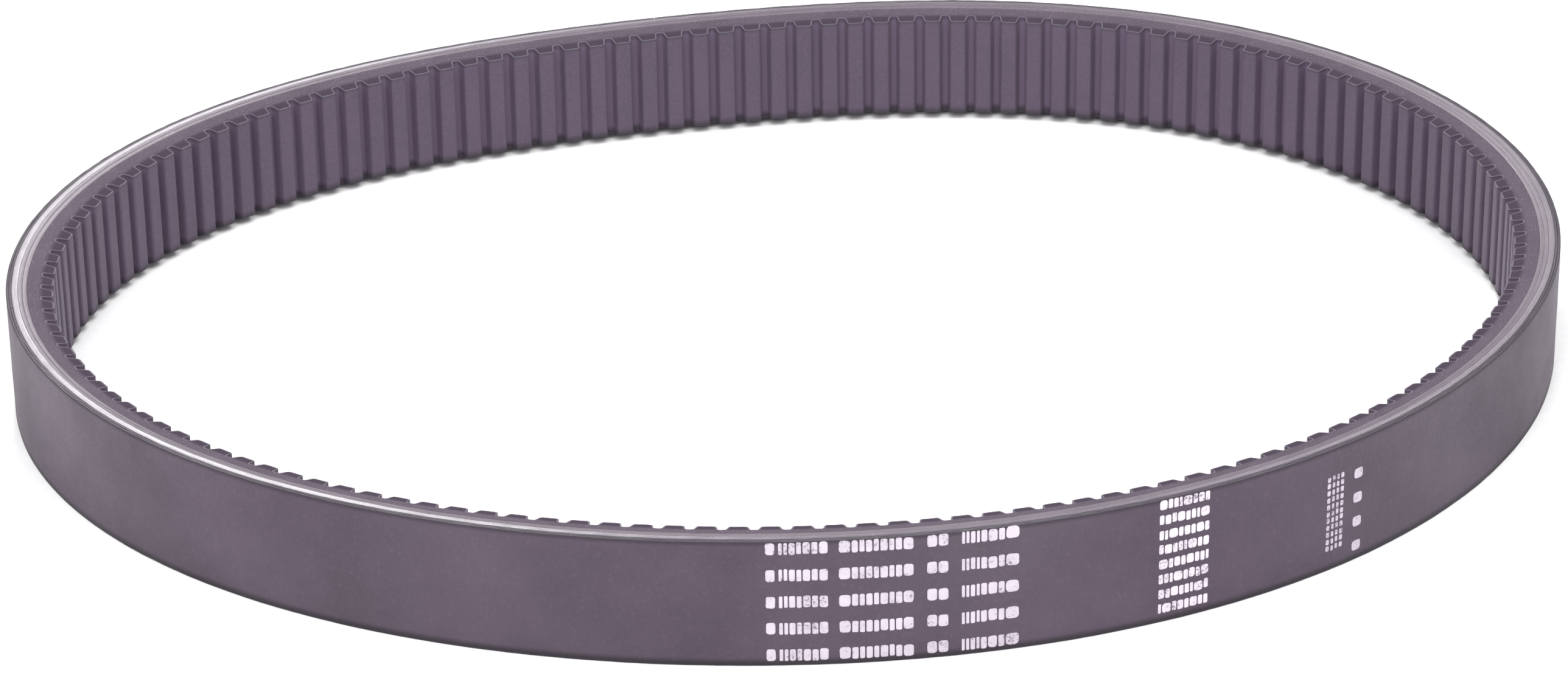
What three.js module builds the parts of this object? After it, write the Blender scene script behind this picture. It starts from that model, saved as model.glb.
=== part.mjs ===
// A wide, raw-edge, cogged V-belt for a variable-speed drive. It stands on one cut edge in the slightly
// oval loop that a slack belt takes up, with its width along Z. It is built up in the order in which a
// belt is laid up: two fabric plies over a firm overcord rubber, two gum layers with a pair of load
// cords wound round between them, the cogged undercord rubber, and a fabric facing on the cogs.
//
// Every layer is a closed band round the same loop. The loop is a run of straight facets with mitred
// corners, so neighbouring layers keep parallel faces and the flanks are flat from corner to corner.
// Depth is measured inwards from the back of the belt, and a place along the loop is given in facets.
// Units are millimetres, +Z is up, and the origin is the centre of the loop at mid width.
import * as THREE from "three";
import { mergeVertices } from "three/addons/utils/BufferGeometryUtils.js";

// ---- The belt's section ----
const TOP_WIDTH = 36.5; // across the back
const THICKNESS = 13.5; // back to cog tips
const GROOVE_ANGLE = 26; // degrees between the two flanks
const BOND_GAP = 0.1; // left between bonded layers, so that no two solids overlap

// Layers from the back inwards. The flanks are cut square down to the overcord rubber's inner face.
const COVER_PLY = 0.8;
const OVERCORD = 1.8;
const GUM = 0.5;
const CORD_DIAMETER = 1.6;
const SHOULDER = 2 * COVER_PLY + OVERCORD;
const CORD_DEPTH = SHOULDER + GUM + CORD_DIAMETER / 2;

// ---- The slack loop, measured to the back ----
const MEAN_RADIUS = 207;
const OVAL = 0.1; // share of the radius that the long axis gains and the short axis loses
const LOBE = 0.019; // a slight three-cornered droop of the oval
const LOBE_PHASE = 4.27; // radians
const FACETS = 50;

// ---- Cogs and cords ----
const COGS_PER_FACET = 3;
const COG_HEIGHT = 3.4;
const COG_TIP_SHARE = 0.6; // of the cog pitch
const COG_WALL_SLOPE = 12; // degrees off square to the loop
const FACING = 0.6; // fabric on the cogs
const CORD_TURNS = 7; // of each of the two cords
const CORD_SPACING = 2.25; // from one cord to the next across the belt
const SPLICE_GAP = 0.4; // between the butted ends of a cover ply

// ---- Printed marks on the back ----
// The place is a mark's middle, counted in facets. The rise is its height above mid width.
const INK = 0.12;
const MARKS = [
  { name: "printed_mark_main", place: 37.04, rise: 0.6, length: 67.8, height: 34.8 },
  { name: "printed_mark_size", place: 40.11, rise: 1.2, length: 15.2, height: 33.4 },
  { name: "printed_mark_batch", place: 42.15, rise: -2.5, length: 13.4, height: 25.8 },
];

// ---- Colours and finishes ----
const FABRIC_BLACK = { color: 0x4c4650, roughness: 0.85, metalness: 0 };
const RUBBER_BLACK = { color: 0x46404a, roughness: 0.7, metalness: 0 };
const GUM_GREY = { color: 0x5a5360, roughness: 0.65, metalness: 0 };
const CORD_CREAM = { color: 0xb9aebb, roughness: 0.8, metalness: 0 };
const INK_WHITE = { color: 0xe6dcea, roughness: 0.6, metalness: 0 };

// The line of the belt's back.
class LoopCurve extends THREE.Curve {
  constructor() {
    super();
    this.arcLengthDivisions = 3600;
  }
  getPoint(t) {
    const angle = 2 * Math.PI * t;
    const swell = OVAL * Math.cos(2 * angle) + LOBE * Math.cos(3 * angle + LOBE_PHASE);
    const radius = MEAN_RADIUS * (1 + swell);
    return new THREE.Vector3(radius * Math.cos(angle), radius * Math.sin(angle), 0);
  }
}

// Facet corners on the back, moved so that the loop's box is centred on the origin.
function loopCorners() {
  const points = new LoopCurve().getSpacedPoints(FACETS).slice(0, FACETS);
  const middle = new THREE.Box3().setFromPoints(points).getCenter(new THREE.Vector3());
  return points.map((p) => new THREE.Vector2(p.x - middle.x, p.y - middle.y));
}

const wrap = (k) => ((k % FACETS) + FACETS) % FACETS;
const corners = loopCorners();
const inwards = corners.map((corner, k) => {
  const along = corners[wrap(k + 1)].clone().sub(corner).normalize();
  return new THREE.Vector2(-along.y, along.x);
});
// The mitre at each corner, long enough that one step along it is one step deeper on both facets.
const mitres = inwards.map((normal, k) => {
  const before = inwards[wrap(k - 1)];
  return normal.clone().add(before).divideScalar(1 + normal.dot(before));
});

const cornerAt = (k, depth) => corners[wrap(k)].clone().addScaledVector(mitres[wrap(k)], depth);

function loopPoint(place, depth) {
  const k = Math.floor(place);
  return cornerAt(k, depth).lerp(cornerAt(k + 1, depth), place - k);
}

const FACET_LENGTH = corners[0].distanceTo(corners[1]);
const COG_PITCH = FACET_LENGTH / COGS_PER_FACET;

// Half the belt's width at a depth: square shoulders, then the V.
function halfWidth(depth) {
  const below = Math.max(0, depth - SHOULDER);
  return TOP_WIDTH / 2 - below * Math.tan(THREE.MathUtils.degToRad(GROOVE_ANGLE / 2));
}

// A line is the section of one face of a layer, as a function of the slice of the loop it is wanted for.
// It gives that slice's points as { place, depth }, with the slice's own two ends among them.
const plainLine = (depth) => (start, end) => [
  { place: start, depth },
  { place: end, depth },
];

// The outline of the cogs, moved into the rubber by an inset. A facet starts and ends in the middle of
// a notch, and each cog has a foot and a tip corner on either side of its middle.
function cogLine(inset) {
  const slope = THREE.MathUtils.degToRad(COG_WALL_SLOPE);
  const tipDepth = THICKNESS - inset;
  const rootDepth = THICKNESS - COG_HEIGHT - inset;
  const halfTip = (COG_TIP_SHARE * COG_PITCH) / 2 - inset / Math.cos(slope) + inset * Math.tan(slope);
  const halfFoot = halfTip + COG_HEIGHT * Math.tan(slope);
  return (start, end) => {
    const line = [{ place: start, depth: rootDepth }];
    for (let cog = 0; cog < COGS_PER_FACET; cog++) {
      const middle = start + (cog + 0.5) / COGS_PER_FACET;
      const at = (offset, depth) => line.push({ place: middle + offset / FACET_LENGTH, depth });
      at(-halfFoot, rootDepth);
      at(-halfTip, tipDepth);
      at(halfTip, tipDepth);
      at(halfFoot, rootDepth);
    }
    line.push({ place: end, depth: rootDepth });
    return line;
  };
}

// The places from start to end where the loop turns, with both ends.
function turnsBetween(start, end) {
  const places = [start];
  for (let k = Math.floor(start) + 1; k < end; k++) places.push(k);
  places.push(end);
  return places;
}

// Collects triangles from corner points given as [x, y, z], and makes one geometry of them.
class Skin {
  constructor() {
    this.position = [];
  }
  triangle(a, b, c) {
    this.position.push(...a, ...b, ...c);
  }
  quad(a, b, c, d) {
    this.triangle(a, b, c);
    this.triangle(a, c, d);
  }
  geometry() {
    const loose = new THREE.BufferGeometry();
    loose.setAttribute("position", new THREE.Float32BufferAttribute(this.position, 3));
    return mergeVertices(loose, 1e-4);
  }
}

// A solid between two lines: an outer wall, an inner wall and two flanks. It closes on itself if it
// goes all the way round the loop, and otherwise has a face at each end.
function band(outerLine, innerLine, { start = 0, end = FACETS, widthAt = halfWidth } = {}) {
  const skin = new Skin();
  const upper = ({ place, depth }) => [...loopPoint(place, depth), widthAt(depth)];
  const lower = ({ place, depth }) => [...loopPoint(place, depth), -widthAt(depth)];
  const places = turnsBetween(start, end);
  for (let n = 1; n < places.length; n++) {
    const outer = outerLine(places[n - 1], places[n]);
    const inner = innerLine(places[n - 1], places[n]).reverse();
    const rim = [...outer, ...inner];
    const plan = rim.map(({ place, depth }) => loopPoint(place, depth));
    for (const [a, b, c] of THREE.ShapeUtils.triangulateShape(plan, [])) {
      skin.triangle(upper(rim[a]), upper(rim[b]), upper(rim[c]));
      skin.triangle(lower(rim[a]), lower(rim[c]), lower(rim[b]));
    }
    for (const wall of [outer, inner]) {
      for (let i = 1; i < wall.length; i++) {
        skin.quad(upper(wall[i - 1]), lower(wall[i - 1]), lower(wall[i]), upper(wall[i]));
      }
    }
  }
  if (end - start < FACETS) {
    const [outerStart, outerEnd] = outerLine(start, end);
    const [innerStart, innerEnd] = innerLine(start, end);
    skin.quad(upper(innerStart), lower(innerStart), lower(outerStart), upper(outerStart));
    skin.quad(upper(outerEnd), lower(outerEnd), lower(innerEnd), upper(innerEnd));
  }
  return skin.geometry();
}

// A layer all the way round, from one depth to another.
function layer(outerDepth, innerDepth) {
  return band(plainLine(outerDepth), plainLine(innerDepth - BOND_GAP));
}

// A fabric ply, wrapped once round, with its ends butted together in the middle of a facet.
function coverPly(outerDepth, spliceFacet) {
  const splice = spliceFacet + 0.5;
  const halfGap = SPLICE_GAP / 2 / FACET_LENGTH;
  return band(plainLine(outerDepth), plainLine(outerDepth + COVER_PLY - BOND_GAP), {
    start: splice + halfGap,
    end: splice + FACETS - halfGap,
  });
}

// One load cord, wound round and across the belt. Its first turn starts at height z.
function cord(z) {
  const skin = new Skin();
  const radius = CORD_DIAMETER / 2 - BOND_GAP;
  const lead = 2 * CORD_SPACING;
  const ringAt = (place) => {
    const height = z + (lead * place) / FACETS;
    return [
      [...loopPoint(place, CORD_DEPTH - radius), height],
      [...loopPoint(place, CORD_DEPTH), height - radius],
      [...loopPoint(place, CORD_DEPTH + radius), height],
      [...loopPoint(place, CORD_DEPTH), height + radius],
    ];
  };
  for (let place = 0; place < CORD_TURNS * FACETS; place++) {
    const here = ringAt(place);
    const next = ringAt(place + 1);
    for (let side = 0; side < 4; side++) {
      const other = (side + 1) % 4;
      skin.quad(here[side], here[other], next[other], next[side]);
    }
  }
  const [a, b, c, d] = ringAt(0);
  skin.quad(a, d, c, b);
  skin.quad(...ringAt(CORD_TURNS * FACETS));
  return skin.geometry();
}

// A patch of ink film on the back.
function printedMark({ place, rise, length, height }) {
  const half = length / 2 / FACET_LENGTH;
  const film = band(plainLine(-BOND_GAP - INK), plainLine(-BOND_GAP), {
    start: place - half,
    end: place + half,
    widthAt: () => height / 2,
  });
  return film.translate(0, 0, rise);
}

function piece(name, geometry, finish) {
  const mesh = new THREE.Mesh(geometry, new THREE.MeshStandardMaterial({ ...finish, flatShading: true }));
  mesh.name = name;
  return mesh;
}

function buildBelt() {
  const upperGum = SHOULDER;
  const lowerGum = SHOULDER + GUM + CORD_DIAMETER;
  const undercord = lowerGum + GUM;
  const firstCord = -(CORD_TURNS + 0.5) * CORD_SPACING;
  const belt = new THREE.Group();
  belt.add(
    piece("back_cover_outer_ply", coverPly(0, 12), FABRIC_BLACK),
    piece("back_cover_inner_ply", coverPly(COVER_PLY, 24), FABRIC_BLACK),
    piece("overcord_rubber", layer(2 * COVER_PLY, SHOULDER), RUBBER_BLACK),
    piece("adhesion_gum_upper", layer(upperGum, upperGum + GUM), GUM_GREY),
    piece("tension_cord_s_twist", cord(firstCord), CORD_CREAM),
    piece("tension_cord_z_twist", cord(firstCord + CORD_SPACING), CORD_CREAM),
    piece("adhesion_gum_lower", layer(lowerGum, undercord), GUM_GREY),
    piece("undercord_rubber", band(plainLine(undercord), cogLine(FACING)), RUBBER_BLACK),
    piece("cog_facing_fabric", band(cogLine(FACING - BOND_GAP), cogLine(0)), FABRIC_BLACK),
  );
  for (const mark of MARKS) belt.add(piece(mark.name, printedMark(mark), INK_WHITE));
  return belt;
}

export default buildBelt();
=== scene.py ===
"""Looks of a wide cogged V-belt that stands on its edge on a pale studio floor.

Every layer of the belt is rebuilt here as a smooth band. The bands follow one line, drawn through the
facet corners of a CAD layer. The belt's width and the depths of its layers are read from the CAD too. A
point on the belt is given by how far along the loop it is, how deep it is below the back, and its height
z. All of them are in metres.
"""

import math

import bpy
import numpy as np
from mathutils import Euler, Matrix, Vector


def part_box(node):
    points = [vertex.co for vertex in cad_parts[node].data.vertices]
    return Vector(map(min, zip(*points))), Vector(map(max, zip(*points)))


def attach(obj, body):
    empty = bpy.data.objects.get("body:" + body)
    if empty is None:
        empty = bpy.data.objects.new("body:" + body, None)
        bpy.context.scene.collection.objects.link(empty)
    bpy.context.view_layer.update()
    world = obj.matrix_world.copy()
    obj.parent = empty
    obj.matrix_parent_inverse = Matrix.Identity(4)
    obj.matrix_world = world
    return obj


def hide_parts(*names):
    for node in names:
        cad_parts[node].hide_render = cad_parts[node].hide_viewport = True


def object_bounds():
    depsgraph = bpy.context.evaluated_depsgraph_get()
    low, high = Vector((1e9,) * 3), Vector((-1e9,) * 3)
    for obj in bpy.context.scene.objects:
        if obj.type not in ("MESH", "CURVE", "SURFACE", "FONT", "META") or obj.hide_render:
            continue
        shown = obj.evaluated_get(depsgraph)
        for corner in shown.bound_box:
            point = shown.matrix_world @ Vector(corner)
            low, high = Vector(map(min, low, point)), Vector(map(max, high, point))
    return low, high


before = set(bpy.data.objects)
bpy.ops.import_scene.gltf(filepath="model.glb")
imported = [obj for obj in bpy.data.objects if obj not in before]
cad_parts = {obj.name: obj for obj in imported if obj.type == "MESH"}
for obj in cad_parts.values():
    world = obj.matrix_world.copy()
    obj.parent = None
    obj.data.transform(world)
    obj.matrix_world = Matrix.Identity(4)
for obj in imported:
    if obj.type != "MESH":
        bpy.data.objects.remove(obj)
cad_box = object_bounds()

MM = 0.001

# ---- The belt's section, read from the CAD layers ----
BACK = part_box("back_cover_outer_ply")[1]


def depth_of(node):
    """How far a CAD layer's outer face lies below the belt's back."""
    return BACK.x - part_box(node)[1].x


INNER_PLY = depth_of("back_cover_inner_ply")
OVERCORD = depth_of("overcord_rubber")
UPPER_GUM = depth_of("adhesion_gum_upper")
LOWER_GUM = depth_of("adhesion_gum_lower")
UNDERCORD = depth_of("undercord_rubber")
THICKNESS = 13.5 * MM
GROOVE_ANGLE = math.radians(26)
LAYER_GAP = 0.02 * MM

# ---- Cogs ----
COGS = 150
COG_HEIGHT = 3.4 * MM
COG_TIP_SHARE = 0.6
COG_WALL_SLOPE = math.radians(12)
COG_TIP_RADIUS = 0.9 * MM
COG_ROOT_RADIUS = 0.6 * MM
FACING = 0.6 * MM

# ---- Cords ----
CORD_RADIUS = 0.75 * MM
CORD_TURNS = 7
CORD_SPACING = 2.25 * MM
CORD_TWIST = 9 * MM
GUM = 0.5 * MM
GUM_LIP = 0.28 * MM

# ---- Cover plies ----
PLY_GAP = 0.05 * MM
SPLICE_GAP = 0.35 * MM
SPLICE_SLANT = math.tan(math.radians(35))
OUTER_SPLICE = 0.25  # of the way round the loop
INNER_SPLICE = 0.49

# ---- Printed marks: the middle of each one, as a share of the way round ----
INK = 0.09 * MM
MAIN_PLACE = 37.04 / 50
SIZE_PLACE = 40.11 / 50
BATCH_PLACE = 42.15 / 50

# ---- Camera ----
CAMERA_AZIMUTH = math.radians(-11.29)
CAMERA_ELEVATION = math.radians(25.0)
CAMERA_DISTANCE = 1.4699
CAMERA_ROLL = math.radians(-0.81)
CAMERA_LENS = 115.18
AIM = Vector((-4.35, -3.5, -9.45)) * MM


# ---------------------------------------------------------------- the loop
class Loop:
    """A smooth closed line through the facet corners of a CAD layer, as a Fourier series."""

    def __init__(self, corners, depth):
        count = len(corners)
        self.wave = np.fft.fft(corners) / count
        self.order = np.fft.fftfreq(count, 1 / count)
        self.depth = depth
        fine = self.line(np.linspace(0, 1, 4001))[0]
        self.length = np.abs(np.diff(fine)).sum() + 2 * math.pi * depth
        self.rise = math.pi * self.length / (4 * count**2)

    def line(self, turn):
        """Point and direction at a share of the way round."""
        phase = np.exp(2j * math.pi * np.multiply.outer(turn, self.order))
        slope = phase @ (1j * self.order * self.wave)
        return phase @ self.wave, slope / np.abs(slope)

    def at(self, along, depth):
        """A place on the belt. The line is set in by the mean height of an arc over a CAD facet."""
        point, direction = self.line(along / self.length)
        return point + 1j * direction * (depth - self.depth + self.rise * 2 / 3)


def facet_corners(node):
    """The widest corners of a CAD layer, in order round the loop from the +X side."""
    corner = np.array([v.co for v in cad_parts[node].data.vertices])
    widest = corner[corner[:, 2] > corner[:, 2].max() - 0.01 * MM]
    flat = np.unique(widest[:, :2].round(6), axis=0)
    point = flat[:, 0] + 1j * flat[:, 1]
    point = point[np.argsort(np.angle(point))]
    return np.roll(point, -np.argmin(np.abs(np.angle(point))))


LOOP = Loop(facet_corners("undercord_rubber"), UNDERCORD)


def half_width(depth):
    """Half the belt's width at a depth: square shoulders, then the V."""
    return BACK.z - np.maximum(0, depth - UPPER_GUM) * math.tan(GROOVE_ANGLE / 2)


def ripple(along, fewest, most, seed):
    """A smooth random wave round the loop, with from fewest to most waves in a turn."""
    rng = np.random.default_rng(seed)
    waves = rng.integers(fewest, most, 10)
    phase = rng.uniform(0, 2 * math.pi, 10)
    turn = np.asarray(along) / LOOP.length
    wave = np.sin(2 * math.pi * np.multiply.outer(turn, waves) + phase).mean(-1) * 2
    return wave.clip(-1, 1)


# ---------------------------------------------------------------- meshes
def unit(vector):
    return vector / np.linalg.norm(vector, axis=-1, keepdims=True)


def arc(start, corner, stop, steps):
    """Points of a round corner, start and stop among them."""
    return [
        (1 - t) ** 2 * start + 2 * t * (1 - t) * corner + t**2 * stop
        for t in np.linspace(0, 1, steps + 1)
    ]


def section(corners, radii, between, steps=3):
    """Rounds the corners of closed sections (sections, corners, 3), and adds points between them."""
    corners = np.asarray(corners, float)
    count = corners.shape[1]
    points = []
    for c in range(count):
        here, after = corners[:, c], corners[:, (c + 1) % count]
        stop = here + radii[c] * unit(after - here)
        points += arc(here + radii[c] * unit(corners[:, c - 1] - here), here, stop, steps)
        start = after + radii[(c + 1) % count] * unit(here - after)
        points += [stop + (start - stop) * k / (between[c] + 1) for k in range(1, between[c] + 1)]
    return np.stack(points, axis=1)


def new_mesh(name, points, faces, belt_uv, section_uv):
    """A mesh object from belt points (along, depth, z) and the two UV places of each face corner."""
    xy = LOOP.at(points[:, 0], points[:, 1])
    mesh = bpy.data.meshes.new(name)
    mesh.from_pydata(np.stack([xy.real, xy.imag, points[:, 2]], axis=1).tolist(), [], faces)
    for layer, uv in (("Belt", belt_uv), ("Section", section_uv)):
        mesh.uv_layers.new(name=layer).data.foreach_set("uv", np.asarray(uv, np.float32).ravel())
    mesh.polygons.foreach_set("use_smooth", [True] * len(mesh.polygons))
    mesh.set_sharp_from_angle(angle=math.radians(40))
    piece = bpy.data.objects.new(name, mesh)
    bpy.context.scene.collection.objects.link(piece)
    weigh = piece.modifiers.new("WeightedNormal", "WEIGHTED_NORMAL")
    weigh.keep_sharp = True
    return piece


def loft(name, rings, closed=True):
    """A solid through closed rings of belt points, given as (rings, points, 3)."""
    count, size = rings.shape[:2]
    spans = count if closed else count - 1
    run = np.linalg.norm(np.roll(rings, -1, axis=1) - rings, axis=-1).cumsum(axis=1)
    run = np.concatenate([np.zeros((count, 1)), run], axis=1)
    i, j = np.meshgrid(np.arange(spans), np.arange(size), indexing="ij")
    ring = np.stack([i, i, i + 1, i + 1], axis=-1).reshape(-1, 4)
    step = np.stack([j, j + 1, j + 1, j], axis=-1).reshape(-1, 4)
    quads = (ring % count) * size + step % size
    point = rings[ring % count, step % size]
    lap = (ring == count) * LOOP.length if closed else 0
    belt_uv = np.stack([point[..., 0] + lap, run[ring % count, step]], axis=-1).reshape(-1, 2)
    section_uv = point[..., 1:].reshape(-1, 2)
    faces = quads.tolist()
    if not closed:
        ends = [list(range(size))[::-1], list(range((count - 1) * size, count * size))]
        flat = rings.reshape(-1, 3)
        faces += ends
        for end in ends:
            belt_uv = np.concatenate([belt_uv, flat[end][:, [0, 2]]])
            section_uv = np.concatenate([section_uv, flat[end][:, 1:]])
    return new_mesh(name, rings.reshape(-1, 3), faces, belt_uv, section_uv)


def stations(spacing):
    """Places at an even spacing all the way round the loop."""
    count = round(LOOP.length / spacing)
    return np.arange(count) * LOOP.length / count


def rings_of(along, *corners):
    """Corner arrays (sections, corners, 3) from corners given as (depth, z) or (along, depth, z)."""
    full = [c if len(c) == 3 else (along, *c) for c in corners]
    return np.stack([np.stack(np.broadcast_arrays(*c), axis=-1) for c in full], axis=1)


def band(name, outer, inner, setback, seed):
    """A plain layer, its cut edges set back a little from the flank and slightly uneven."""
    along = stations(1.1 * MM)
    top = setback + 0.03 * MM * (1 + ripple(along, 20, 190, seed))
    low = setback + 0.03 * MM * (1 + ripple(along, 20, 190, seed + 1))
    corners = rings_of(
        along,
        (outer, half_width(outer) - top),
        (outer, low - half_width(outer)),
        (inner, low - half_width(inner)),
        (inner, half_width(inner) - top),
    )
    return loft(name, section(corners, [0.1 * MM] * 4, [1, 2, 1, 2], steps=2))


def gum(name, outer, inner, lip_at_inner):
    """A gum layer, with a lip at each flank that closes round the cords."""
    along = stations(1.1 * MM)
    edge, web = (outer, outer + GUM) if lip_at_inner else (inner, inner - GUM)
    tip = inner if lip_at_inner else outer
    shape = [(edge, 1, 0), (edge, -1, 0), (tip, -1, 0), (tip, -1, GUM_LIP), (web, -1, GUM_LIP)]
    shape += [(web, 1, GUM_LIP), (tip, 1, GUM_LIP), (tip, 1, 0)]
    if not lip_at_inner:
        shape = [(d, -side, lip) for d, side, lip in shape]
    wave = 0.02 * MM * (1 + ripple(along, 30, 200, 7))
    corners = [(depth, side * (half_width(depth) - lip - wave)) for depth, side, lip in shape]
    return loft(name, section(rings_of(along, *corners), [0.06 * MM] * 8, [1] * 8, steps=1))


def cover_ply(name, outer, inner, splice, edge_radius, seed):
    """A fabric ply with slanted ends that butt together at its splice."""
    count = round(LOOP.length / (1.1 * MM))
    along = splice * LOOP.length + np.linspace(SPLICE_GAP / 2, LOOP.length - SPLICE_GAP / 2, count)
    top = 0.05 * MM * (1 + ripple(along, 20, 260, seed))
    low = 0.05 * MM * (1 + ripple(along, 20, 260, seed + 1))
    corners = rings_of(
        along,
        (outer, half_width(outer) - top),
        (outer, low - half_width(outer)),
        (inner, low - half_width(inner)),
        (inner, half_width(inner) - top),
    )
    inner_radius = 0.08 * MM
    radii = [edge_radius, edge_radius, inner_radius, inner_radius]
    rings = section(corners, radii, [22, 1, 4, 1], steps=3)
    rings[..., 1] += 0.04 * MM * ripple(rings[..., 0] + 3 * rings[..., 2], 8, 60, seed + 2)
    rings[..., 0] += SPLICE_SLANT * rings[..., 2]
    return loft(name, rings, closed=False)


def cog_outline(inset):
    """All the cogs' outline as (along, depth), moved into the rubber by an inset."""
    pitch = LOOP.length / COGS
    root = THICKNESS - COG_HEIGHT - inset
    tip = THICKNESS - inset
    slope = math.tan(COG_WALL_SLOPE)
    half_tip = COG_TIP_SHARE * pitch / 2 + inset * (slope - 1 / math.cos(COG_WALL_SLOPE))
    half_foot = half_tip + COG_HEIGHT * slope
    rise = [(-pitch / 2, root), (-half_foot, root), (-half_tip, tip)]
    turns = np.array(rise + [(-along, depth) for along, depth in rise[::-1]])
    root_radius, tip_radius = COG_ROOT_RADIUS + inset, COG_TIP_RADIUS - inset
    radii = [0, root_radius, tip_radius, tip_radius, root_radius, 0]
    points = []
    for k in range(1, 5):
        here = turns[k]
        start = here + radii[k] * unit(turns[k - 1] - here)
        stop = here + radii[k] * unit(turns[k + 1] - here)
        before = points[-1] if points else turns[0]
        points += [before + (start - before) * t for t in ((0, 0.5) if k == 1 else (0.33, 0.67))]
        points += arc(start, here, stop, 5)
    one = np.array(points)
    middles = (np.arange(COGS) + 0.5) * pitch
    along = (middles[:, None] + one[:, 0]).ravel()
    depth = np.tile(one[:, 1], COGS)
    rooted = np.clip((depth - root) / COG_HEIGHT, 0, 1)
    return along, depth - rooted * 0.07 * MM * (1 + ripple(along, 5, 70, 21))


def undercord(name):
    """The cogged rubber under the cords."""
    along, inner = cog_outline(FACING + LAYER_GAP)
    outer = UNDERCORD + LAYER_GAP
    wave = 0.02 * MM * (1 + ripple(along, 20, 200, 31))
    corners = rings_of(
        along,
        (outer, half_width(outer) - wave),
        (outer, wave - half_width(outer)),
        (inner, wave - half_width(inner)),
        (inner, half_width(inner) - wave),
    )
    return loft(name, section(corners, [0.08 * MM] * 4, [1, 3, 3, 3], steps=2))


def cog_facing(name):
    """The fabric moulded over the cogs."""
    far_along, far = cog_outline(FACING)
    near_along, near = cog_outline(0)
    top = 0.03 * MM * (1 + ripple(near_along, 40, 400, 41))
    low = 0.03 * MM * (1 + ripple(near_along, 40, 400, 42))
    corners = rings_of(
        None,
        (far_along, far, half_width(far) - top),
        (far_along, far, low - half_width(far)),
        (near_along, near, low - half_width(near)),
        (near_along, near, half_width(near) - top),
    )
    return loft(name, section(corners, [0.12 * MM] * 4, [3, 0, 9, 0], steps=2))


def cord(name, first, hand):
    """One three-strand load cord, wound round and across the belt."""
    middle = (LOWER_GUM + UPPER_GUM + GUM) / 2
    steps = round(CORD_TURNS * LOOP.length / (2 * MM))
    along = np.linspace(0, CORD_TURNS * LOOP.length, steps)
    z = first + 2 * CORD_SPACING * along / LOOP.length
    side = np.linspace(0, 2 * math.pi, 12, endpoint=False)
    twist = hand * 2 * math.pi * along[:, None] / CORD_TWIST
    reach = CORD_RADIUS * (0.84 + 0.16 * np.cos(3 * (side - twist)))
    rings = np.stack(
        [
            np.broadcast_to(along[:, None], reach.shape),
            middle - reach * np.cos(side),
            z[:, None] + reach * np.sin(side),
        ],
        axis=-1,
    )
    return loft(name, rings[:, ::-1], closed=False)


# ---------------------------------------------------------------- printed marks
def stroke(along, z, width, height, rng):
    """One raised bar of ink as rings of belt points, from its buried foot to its top."""
    radius = 0.32 * min(width, height)
    corners = np.array([[-1, 1], [-1, -1], [1, -1], [1, 1]]) * (width / 2, height / 2)
    outline = []
    for c in range(4):
        here = corners[c]
        start = here + radius * unit(corners[c - 1] - here)
        stop = here + radius * unit(corners[(c + 1) % 4] - here)
        outline += arc(start, here, stop, 3)
    outline = np.array(outline) * (1 + 0.02 * rng.standard_normal((16, 1)))
    rings = []
    for depth, share in ((0.05 * MM, 1), (-0.5 * INK, 1), (-INK, 0.93)):
        ring = np.empty((16, 3))
        ring[:, 0] = along + outline[:, 0] * share
        ring[:, 1] = depth
        ring[:, 2] = z + outline[:, 1] * share
        rings.append(ring)
    return np.array(rings)


def mark(name, strokes):
    """All the strokes of one printed mark as one piece."""
    points, faces = [], []
    for rings in strokes:
        first = len(points) * 16
        points += list(rings)
        for r in range(2):
            for j in range(16):
                a, b = r * 16 + j, r * 16 + (j + 1) % 16
                faces.append([first + a, first + b, first + b + 16, first + a + 16])
        faces.append(list(range(first + 32, first + 48)))
        faces.append(list(range(first, first + 16))[::-1])
    flat = np.concatenate(points)
    corner = flat[[v for face in faces for v in face]]
    return new_mesh(name, flat, faces, corner[:, [0, 2]], corner[:, 1:])


def row_of_strokes(start, length, z, height, shares, gap, rng):
    """Upright strokes side by side that fill a length, their widths in the given shares."""
    unit_width = (length - gap * (len(shares) - 1)) / sum(shares)
    made, at = [], start
    for share in shares:
        width = share * unit_width
        lift = 0.08 * MM * rng.standard_normal()
        made.append(stroke(at + width / 2, z + lift, width, height, rng))
        at += width + gap
    return made


def mark_middle(node):
    """The height of a CAD mark's middle."""
    low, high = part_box(node)
    return (low.z + high.z) / 2


def main_mark():
    """Five equal rows, each with five groups of strokes."""
    rng = np.random.default_rng(5)
    start = MAIN_PLACE * LOOP.length - 33.8 * MM
    middle = mark_middle("printed_mark_main")
    row_pitch, height, gap = 7.85 * MM, 3.4 * MM, 0.4 * MM
    # each group is its offset and its length in mm, and the shares of its strokes' widths
    groups = [
        (0.6, 2.4, [1]),
        (4.0, 12.8, [3, 3, 5, 4, 6, 5, 7]),
        (19.7, 19.5, [9, 5, 4, 5, 4, 6, 4, 5, 8]),
        (42.8, 5.6, [1, 1]),
        (52.0, 15.4, [2, 2, 3, 2, 4, 6, 4, 9]),
    ]
    strokes = []
    for row in range(5):
        z = middle + (2 - row) * row_pitch
        for offset, length, shares in groups:
            strokes += row_of_strokes(start + offset * MM, length * MM, z, height, shares, gap, rng)
    return mark("mark_main", strokes)


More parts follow.
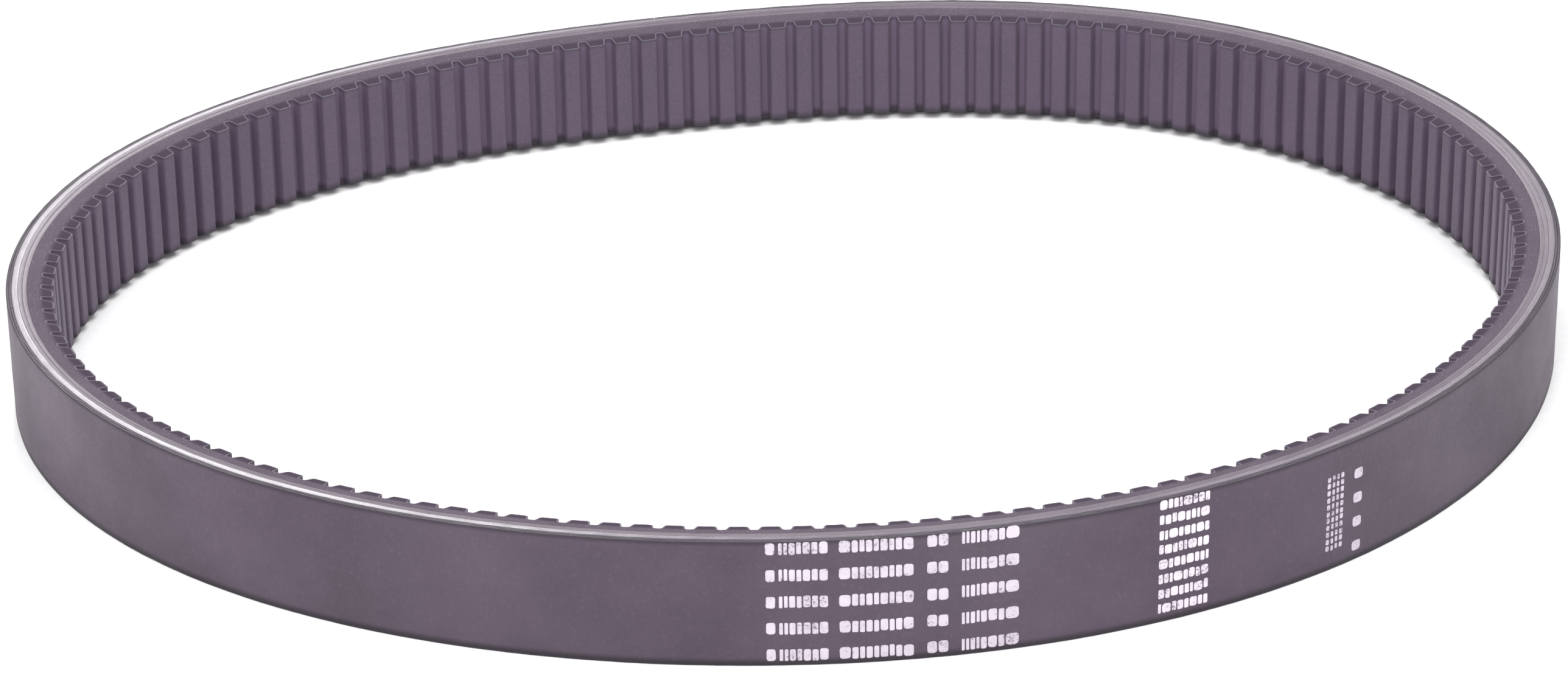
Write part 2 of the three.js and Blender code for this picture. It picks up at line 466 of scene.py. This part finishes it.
def size_mark():
    """Eight close rows of short strokes."""
    rng = np.random.default_rng(6)
    start = SIZE_PLACE * LOOP.length - 7.5 * MM
    middle = mark_middle("printed_mark_size")
    length, row_pitch, height, gap = 15 * MM, 4.38 * MM, 2.7 * MM, 0.35 * MM
    shares = [5, 3, 3, 2, 6, 3, 4, 3]
    strokes = []
    for row in range(8):
        z = middle + (3.5 - row) * row_pitch
        strokes += row_of_strokes(start, length, z, height, np.roll(shares, 3 * row), gap, rng)
    return mark("mark_size", strokes)


def batch_mark():
    """A column of fine ticks with four round dots beside it."""
    rng = np.random.default_rng(8)
    start = BATCH_PLACE * LOOP.length - 6.6 * MM
    middle = mark_middle("printed_mark_batch")
    tick_length, tick_height, tick_pitch, tick_gap = 6 * MM, 1.5 * MM, 2.1 * MM, 0.7 * MM
    dot_width, dot_height, dot_pitch = 3.2 * MM, 3.0 * MM, 7.3 * MM
    strokes = []
    for row in range(11):
        z = middle + 1.5 * MM + (5 - row) * tick_pitch
        strokes += row_of_strokes(start, tick_length, z, tick_height, [4, 3, 3, 4], tick_gap, rng)
    for row in range(4):
        z = middle - 0.4 * MM + (1.5 - row) * dot_pitch
        strokes.append(stroke(start + 11.5 * MM, z, dot_width, dot_height, rng))
    return mark("mark_batch", strokes)


# ---------------------------------------------------------------- materials
class Shader:
    """Short calls that build the nodes of one material."""

    def __init__(self, name):
        self.material = bpy.data.materials.new(name)
        self.material.use_nodes = True
        self.tree = self.material.node_tree
        self.skin = self.tree.nodes["Principled BSDF"]

    def put(self, socket, value):
        if isinstance(value, bpy.types.NodeSocket):
            self.tree.links.new(value, socket)
        else:
            socket.default_value = value

    def node(self, kind, inputs=(), output=0, **settings):
        node = self.tree.nodes.new(kind)
        for key, value in settings.items():
            setattr(node, key, value)
        for key, value in dict(inputs).items():
            self.put(node.inputs[key], value)
        return node.outputs[output]

    def math(self, operation, a, b=0.0):
        return self.node("ShaderNodeMath", {0: a, 1: b}, operation=operation)

    def uv(self, layer):
        return self.node("ShaderNodeUVMap", uv_map=layer)

    def place(self):
        return self.node("ShaderNodeTexCoord", output="Object")

    def split(self, vector):
        node = self.tree.nodes.new("ShaderNodeSeparateXYZ")
        self.put(node.inputs[0], vector)
        return node.outputs

    def join(self, x, y, z=0.0):
        return self.node("ShaderNodeCombineXYZ", {0: x, 1: y, 2: z})

    def noise(self, vector, scale, detail=3.0, roughness=0.55):
        inputs = {"Vector": vector, "Scale": scale, "Detail": detail, "Roughness": roughness}
        return self.node("ShaderNodeTexNoise", inputs)

    def fit(self, value, low, high, to_low=0.0, to_high=1.0):
        inputs = {0: value, 1: low, 2: high, 3: to_low, 4: to_high}
        return self.node("ShaderNodeMapRange", inputs, clamp=True)

    def blend(self, factor, first, second):
        node = self.tree.nodes.new("ShaderNodeMix")
        node.data_type = "RGBA"
        self.put(node.inputs[0], factor)
        for socket, value in ((node.inputs[6], first), (node.inputs[7], second)):
            self.put(socket, (*value, 1.0) if isinstance(value, tuple) else value)
        return node.outputs[2]

    def finish(self, color, roughness, height, relief, specular=0.4, sheen=0.0):
        bump = {"Strength": 1.0, "Distance": relief, "Height": height}
        self.put(self.skin.inputs["Base Color"], color)
        self.put(self.skin.inputs["Roughness"], roughness)
        self.put(self.skin.inputs["Normal"], self.node("ShaderNodeBump", bump))
        self.skin.inputs["Specular IOR Level"].default_value = specular
        self.skin.inputs["Sheen Weight"].default_value = sheen
        self.skin.inputs["Sheen Roughness"].default_value = 0.5
        return self.material


def weave(shader, layer, pitch, slant):
    """The height of a plain weave, its threads at a slant to the loop."""
    u, v = shader.split(shader.uv(layer))[:2]
    count = round(LOOP.length / pitch)
    along = shader.math("MULTIPLY", u, 2 * math.pi * count / LOOP.length)
    across = shader.math("MULTIPLY", v, 2 * math.pi * slant / pitch)
    warp = shader.math("SINE", shader.math("ADD", along, across))
    weft = shader.math("SINE", shader.math("SUBTRACT", along, across))
    knots = shader.math("MULTIPLY", warp, weft)
    return shader.fit(knots, -1.0, 1.0)


def back_fabric():
    """Rubber-soaked bias-cut cotton: dull, mottled, its weave just showing, painted shade along its top
    and bottom edges.
    """
    s = Shader("back_fabric")
    place = s.place()
    threads = weave(s, "Belt", 1.1 * MM, 0.8)
    patches = s.fit(s.noise(place, 22, 4.0, 0.6), 0.35, 0.68)
    tint = s.fit(s.noise(place, 9, 2.0, 0.5), 0.4, 0.62)
    grain = s.noise(place, 900, 3.0, 0.7)
    dark = s.blend(tint, (0.066, 0.047, 0.071), (0.067, 0.051, 0.071))
    light = s.blend(tint, (0.088, 0.062, 0.094), (0.086, 0.066, 0.090))
    color = s.blend(patches, dark, light)
    color = s.blend(s.fit(threads, 0.0, 0.5, 0.35, 0.0), color, (0.046, 0.034, 0.051))
    color = s.blend(s.fit(grain, 0.55, 0.8, 0.0, 0.3), color, (0.165, 0.128, 0.175))
    z = s.split(place)[2]
    # painted shade: a dark band along the top edge
    color = s.blend(s.fit(z, 16.9 * MM, 17.9 * MM, 0.0, 0.8), color, (0.026, 0.019, 0.029))
    # painted shadow: a dark band along the bottom edge, where the belt stands on the floor
    color = s.blend(s.fit(z, -15.8 * MM, -17.3 * MM, 0.0, 0.93), color, (0.020, 0.015, 0.023))
    roughness = s.fit(s.math("ADD", patches, grain), 0.2, 1.6, 0.78, 0.55)
    height = s.math("ADD", threads, s.math("MULTIPLY", grain, 0.8))
    return s.finish(color, roughness, height, 0.05 * MM, specular=0.35, sheen=0.06)


def cut_rubber(name, base, light, streak, dull, specular, shade=None):
    """The raw cut edge: fine knife lines along the belt, short fibres cut through as pale specks.

    Given are its two tones, its streaks, its smoothest roughness and its specular level. The shade is a
    darker band: the depths where it starts and is full, its colour, and what it adds to the roughness.
    """
    s = Shader(name)
    x, y = s.split(s.place())[:2]
    depth = s.split(s.uv("Section"))[0]
    along = s.join(s.math("MULTIPLY", x, 40), s.math("MULTIPLY", y, 40), s.math("MULTIPLY", depth, 6000))
    lines = s.noise(along, 1.0)
    fibres = s.noise(s.place(), 2600, 2.0, 0.6)
    patches = s.noise(s.place(), 60, 3.0, 0.6)
    color = s.blend(s.fit(patches, 0.35, 0.65), base, light)
    color = s.blend(s.fit(lines, 0.35, 0.7, 0.0, 0.5), color, streak)
    color = s.blend(s.fit(fibres, 0.6, 0.75, 0.0, 0.6), color, (0.30, 0.25, 0.30))
    color = s.blend(s.fit(fibres, 0.42, 0.3, 0.0, 0.5), color, (0.045, 0.035, 0.050))
    roughness = s.fit(lines, 0.3, 0.7, dull, dull + 0.14)
    if shade:
        start, full, dark, dulling = shade
        shaded = s.fit(depth, start, full, 0.0, 0.85)
        color = s.blend(shaded, color, dark)
        roughness = s.math("ADD", roughness, s.math("MULTIPLY", shaded, dulling))
    height = s.math("ADD", s.math("MULTIPLY", lines, 0.8), fibres)
    return s.finish(color, roughness, height, 0.03 * MM, specular=specular)


def facing_fabric():
    """Fine stretch fabric moulded over the cogs, its tips smoother from wear and paler in patches: a
    painted highlight.
    """
    s = Shader("facing_fabric")
    u = s.split(s.uv("Belt"))[0]
    depth, z = s.split(s.uv("Section"))[:2]
    place = s.place()
    ribs = s.math("SINE", s.math("MULTIPLY", z, 2 * math.pi / (0.55 * MM)))
    row_count = round(LOOP.length / (0.7 * MM))
    rows = s.math("SINE", s.math("MULTIPLY", u, 2 * math.pi * row_count / LOOP.length))
    threads = s.fit(s.math("MULTIPLY", ribs, rows), -1.0, 1.0)
    patches = s.noise(place, 45, 4.0, 0.6)
    grain = s.noise(place, 1200, 3.0, 0.65)
    color = s.blend(s.fit(patches, 0.35, 0.68), (0.066, 0.047, 0.077), (0.079, 0.056, 0.091))
    color = s.blend(s.fit(threads, 0.0, 0.5, 0.35, 0.0), color, (0.045, 0.033, 0.052))
    # painted light: the notches between the cogs are made paler, as if lit from inside
    painted_notch_light = s.fit(depth, THICKNESS - 0.5 * MM, THICKNESS - COG_HEIGHT, 0.0, 0.54)
    color = s.blend(painted_notch_light, color, (0.180, 0.132, 0.205))
    # painted highlight: the cog tips are made paler in grain-broken patches; their lower roughness is
    # wear
    tips = s.fit(depth, THICKNESS - 1.4 * MM, THICKNESS - 0.1 * MM)
    worn_and_highlit = s.math("MULTIPLY", tips, s.fit(grain, 0.35, 0.65, 0.1, 0.5))
    color = s.blend(worn_and_highlit, color, (0.100, 0.074, 0.114))
    # painted shadow: darker toward the bottom edge, where the cogs stand just above the floor
    color = s.blend(s.fit(z, -13.6 * MM, -15.4 * MM, 0.0, 0.85), color, (0.024, 0.018, 0.028))
    # painted shade: darker toward the top edge of the cogs
    color = s.blend(s.fit(z, 14.9 * MM, 15.8 * MM, 0.0, 0.6), color, (0.035, 0.026, 0.040))
    roughness = s.fit(worn_and_highlit, 0.0, 0.5, 0.72, 0.58)
    height = s.math("ADD", threads, s.math("MULTIPLY", grain, 0.6))
    return s.finish(color, roughness, height, 0.04 * MM, specular=0.4, sheen=0.05)


def cord_fibre():
    """Dipped polyester cord, its filaments running with the twist."""
    s = Shader("cord_fibre")
    u, v = s.split(s.uv("Belt"))[:2]
    strands = s.noise(s.join(s.math("MULTIPLY", u, 900), s.math("MULTIPLY", v, 5000)), 1.0, 3.0)
    dip = s.noise(s.place(), 300, 3.0)
    color = s.blend(s.fit(strands, 0.35, 0.65), (0.42, 0.37, 0.39), (0.58, 0.53, 0.54))
    color = s.blend(s.fit(dip, 0.5, 0.7, 0.0, 0.6), color, (0.20, 0.13, 0.12))
    return s.finish(color, s.fit(dip, 0.3, 0.7, 0.5, 0.75), strands, 0.05 * MM)


def ink(name, pale, wear):
    """Transfer ink that has taken up the weave below, worn through in small specks."""
    s = Shader(name)
    place = s.place()
    threads = weave(s, "Belt", 1.1 * MM, 0.8)
    specks = s.noise(place, 1500, 3.0, 0.65)
    patches = s.noise(place, 130, 3.0, 0.6)
    gone = s.math("ADD", s.math("MULTIPLY", specks, 0.6), s.math("MULTIPLY", patches, 0.4))
    color = s.blend(s.fit(patches, 0.35, 0.65), pale, tuple(0.86 * c for c in pale))
    color = s.blend(s.fit(gone, wear, wear + 0.07, 0.0, 0.85), color, (0.12, 0.09, 0.125))
    roughness = s.fit(patches, 0.3, 0.7, 0.5, 0.7)
    return s.finish(color, roughness, s.math("ADD", threads, specks), 0.03 * MM, specular=0.4)


def floor_paper():
    """Pale studio paper with a barely visible tooth."""
    s = Shader("floor_paper")
    tooth = s.noise(s.place(), 400, 2.0, 0.6)
    color = s.blend(s.fit(tooth, 0.3, 0.7), (0.90, 0.895, 0.90), (0.93, 0.925, 0.93))
    return s.finish(color, s.fit(tooth, 0.3, 0.7, 0.85, 0.95), tooth, 0.02 * MM, specular=0.1)


# ---------------------------------------------------------------- the belt
def dress(piece, material, node):
    """Gives a piece its material, and lets it stand for its CAD layer."""
    piece.data.materials.append(material)
    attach(piece, "root")
    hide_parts(node)


def overcord_cut():
    """Firm rubber, darkest where it meets the plies."""
    base, light, streak = (0.080, 0.062, 0.084), (0.100, 0.079, 0.104), (0.130, 0.105, 0.133)
    shade = (2.3 * MM, 1.3 * MM, (0.040, 0.030, 0.044), 0.0)
    return cut_rubber("overcord_cut", base, light, streak, 0.28, 0.22, shade)


def gum_cut():
    """Soft gum, the palest and smoothest of the cut layers."""
    base, light, streak = (0.088, 0.070, 0.092), (0.110, 0.088, 0.113), (0.15, 0.122, 0.15)
    return cut_rubber("gum_cut", base, light, streak, 0.28, 0.22)


def undercord_cut():
    """Fibre-filled rubber, dull, and darker across the cogs: painted shade."""
    base, light, streak = (0.066, 0.052, 0.070), (0.084, 0.066, 0.088), (0.110, 0.088, 0.114)
    # painted shade across the cut sides of the cogs, which are also made rougher there
    shade = (9.3 * MM, 10.6 * MM, (0.044, 0.033, 0.049), 0.3)
    return cut_rubber("undercord_cut", base, light, streak, 0.55, 0.03, shade)


def build_back():
    """The two plies of the back, and the firm rubber under them."""
    fabric = back_fabric()
    outer_ply = cover_ply("ply_outer", 0.0, INNER_PLY - LAYER_GAP, OUTER_SPLICE, 0.3 * MM, 51)
    top, bottom = INNER_PLY + PLY_GAP, OVERCORD - PLY_GAP
    inner_ply = cover_ply("ply_inner", top, bottom, INNER_SPLICE, 0.08 * MM, 61)
    overcord = band("overcord", OVERCORD, UPPER_GUM - LAYER_GAP, 0.0, 11)
    dress(outer_ply, fabric, "back_cover_outer_ply")
    dress(inner_ply, fabric, "back_cover_inner_ply")
    dress(overcord, overcord_cut(), "overcord_rubber")


def build_cords_and_gum():
    """The two load cords and the gum on each side of them."""
    soft, fibre = gum_cut(), cord_fibre()
    cord_middle = (LOWER_GUM + UPPER_GUM + GUM) / 2
    first_cord = -(CORD_TURNS + 0.5) * CORD_SPACING
    upper = gum("gum_upper", UPPER_GUM, cord_middle - LAYER_GAP / 2, True)
    lower = gum("gum_lower", cord_middle + LAYER_GAP / 2, UNDERCORD, False)
    dress(upper, soft, "adhesion_gum_upper")
    dress(lower, soft, "adhesion_gum_lower")
    dress(cord("cord_s", first_cord, 1), fibre, "tension_cord_s_twist")
    dress(cord("cord_z", first_cord + CORD_SPACING, -1), fibre, "tension_cord_z_twist")


def build_cogs():
    """The cogged rubber and its facing."""
    dress(undercord("undercord"), undercord_cut(), "undercord_rubber")
    dress(cog_facing("cog_facing"), facing_fabric(), "cog_facing_fabric")


def build_marks():
    """The three marks, each in ink worn to its own degree."""
    fresh = ink("ink_fresh", (0.62, 0.56, 0.64), 0.56)
    worn = ink("ink_worn", (0.76, 0.69, 0.78), 0.55)
    faint = ink("ink_faint", (0.58, 0.52, 0.60), 0.53)
    dress(main_mark(), fresh, "printed_mark_main")
    dress(size_mark(), worn, "printed_mark_size")
    dress(batch_mark(), faint, "printed_mark_batch")


# ---------------------------------------------------------------- the studio
def build_floor():
    """A wide square of paper at the height of the belt's standing edge."""
    reach = 8.0
    mesh = bpy.data.meshes.new("floor")
    corners = [(x * reach, y * reach, cad_box[0].z) for x, y in ((-1, -1), (1, -1), (1, 1), (-1, 1))]
    mesh.from_pydata(corners, [], [(0, 1, 2, 3)])
    floor = bpy.data.objects.new("floor", mesh)
    bpy.context.scene.collection.objects.link(floor)
    mesh.materials.append(floor_paper())


def softbox(name, place, width, height, watts):
    """An area light that faces the middle of the belt."""
    light = bpy.data.lights.new(name, "AREA")
    light.shape = "RECTANGLE"
    light.size, light.size_y = width, height
    light.energy = watts
    lamp = bpy.data.objects.new(name, light)
    lamp.location = place
    lamp.rotation_euler = (-Vector(place)).to_track_quat("-Z", "Y").to_euler()
    bpy.context.scene.collection.objects.link(lamp)


def build_lights():
    """Even white surroundings, one large box overhead, two boxes in front, and two small ones behind.

    The small ones shine along the near rim, where its flat shoulder mirrors them to the camera.
    """
    world = bpy.data.worlds.new("studio")
    bpy.context.scene.world = world
    world.use_nodes = True
    world.node_tree.nodes["Background"].inputs["Color"].default_value = (1.0, 0.99, 1.0, 1.0)
    world.node_tree.nodes["Background"].inputs["Strength"].default_value = 0.5
    softbox("overhead", (0.0, -0.35, 1.7), 2.4, 2.0, 46)
    softbox("key", (-1.0, -1.5, 1.2), 0.8, 0.8, 12)
    softbox("fill", (0.35, -1.9, 0.95), 1.0, 0.7, 5.5)
    softbox("rim_left", (-0.02, 1.85, 1.10), 0.25, 0.30, 25)
    softbox("rim_right", (0.84, 1.85, 1.15), 0.25, 0.15, 7)


def build_camera():
    """A long lens that looks down on the front of the loop, a little from the left."""
    camera = bpy.data.objects.new("camera", bpy.data.cameras.new("camera"))
    bpy.context.scene.collection.objects.link(camera)
    bpy.context.scene.camera = camera
    camera.data.sensor_width = 36.0
    camera.data.lens = CAMERA_LENS
    camera.data.clip_end = 30.0
    flat = math.cos(CAMERA_ELEVATION) * CAMERA_DISTANCE
    camera.location = (
        math.sin(CAMERA_AZIMUTH) * flat,
        -math.cos(CAMERA_AZIMUTH) * flat,
        math.sin(CAMERA_ELEVATION) * CAMERA_DISTANCE,
    )
    aim = (AIM - camera.location).to_track_quat("-Z", "Y")
    camera.rotation_euler = (aim @ Euler((0, 0, CAMERA_ROLL)).to_quaternion()).to_euler()
    bpy.context.scene.view_settings.view_transform = "Standard"


build_camera()
build_back()
build_cords_and_gum()
build_cogs()
build_marks()
build_floor()
build_lights()
